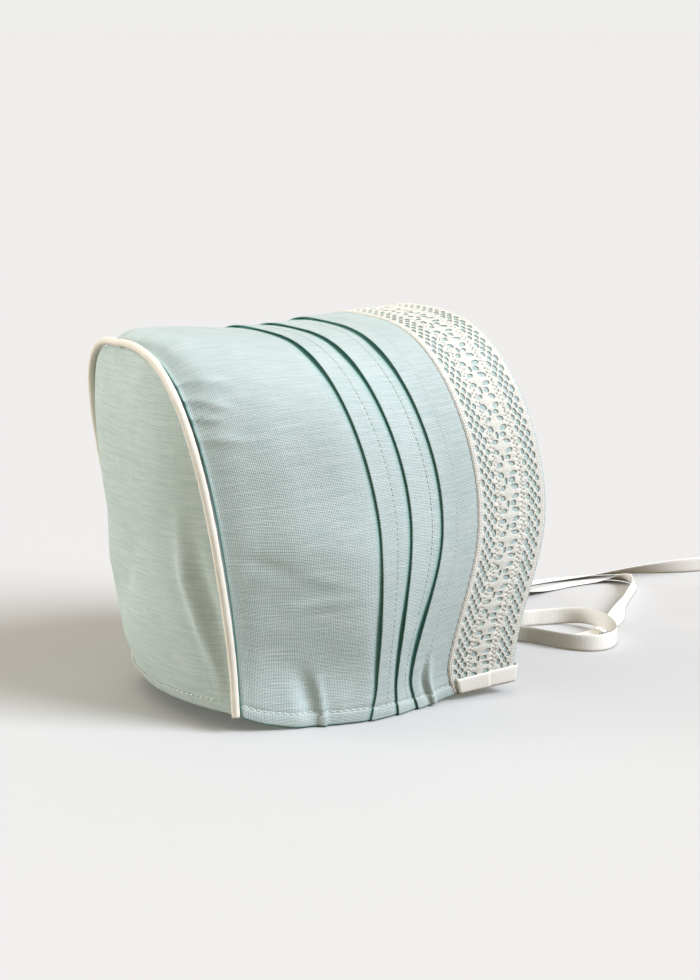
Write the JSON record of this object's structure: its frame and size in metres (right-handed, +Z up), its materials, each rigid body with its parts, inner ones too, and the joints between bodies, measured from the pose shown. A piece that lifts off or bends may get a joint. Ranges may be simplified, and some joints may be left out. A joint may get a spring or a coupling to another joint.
{
  "type": "linen baby bonnet",
  "caption": "Hollow baby bonnet: a tucked linen side band over the crown, a domed piped back panel, a lace face edge, and satin ribbon ties lying loose.",
  "frame": {"origin": "on the surface it stands on, under the middle of the bonnet without its ribbon ties", "axes": "+Z up, the face opening towards -Y, the wearer's left towards +X"},
  "size_m": [0.1589, 0.3501, 0.1465],
  "materials": {
    "linen": "plain-woven pale blue linen with slubs",
    "piping": "ivory cotton over a round cord",
    "lace": "ivory cotton bobbin lace",
    "satin": "ivory satin ribbon, soft sheen"
  },
  "bodies": {
    "root": {"back_panel": "linen", "side_band": "linen", "piping": "piping", "lace_band": "lace", "ribbon_end_right": "satin", "ribbon_end_left": "satin", "ribbon_tie_right": "satin", "ribbon_tie_left": "satin"}
  },
  "joints": []
}
